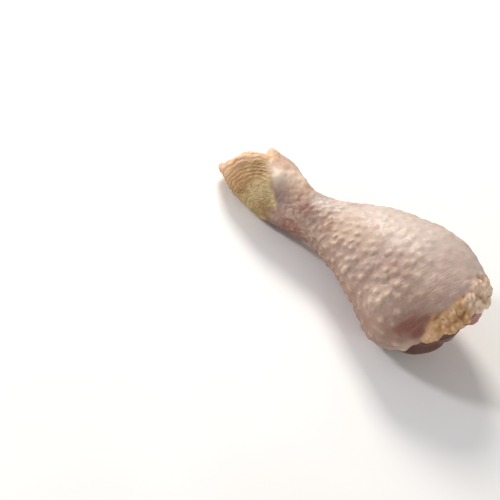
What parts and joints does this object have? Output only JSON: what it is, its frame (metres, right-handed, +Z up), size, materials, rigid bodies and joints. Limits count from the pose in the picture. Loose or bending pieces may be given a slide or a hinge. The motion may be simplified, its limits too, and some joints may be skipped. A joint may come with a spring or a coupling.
{
  "type": "raw chicken drumstick",
  "caption": "Raw chicken drumstick lying on its side, with bumpy skin, a sawn ankle end and a cut knee end where the meat shows.",
  "frame": {"origin": "centre of the bounding box in X and Y, on the floor it rests on", "axes": "+X from the sawn ankle to the thick knee end, +Z up from the floor, and +Y to the side away from the cut skin's tip"},
  "size_m": [0.119, 0.0568, 0.0434],
  "materials": {
    "skin": "moist",
    "meat": "wet gloss",
    "bone": "moist"
  },
  "bodies": {
    "root": {"skin": "skin", "meat": "meat", "bone": "bone"}
  },
  "joints": []
}
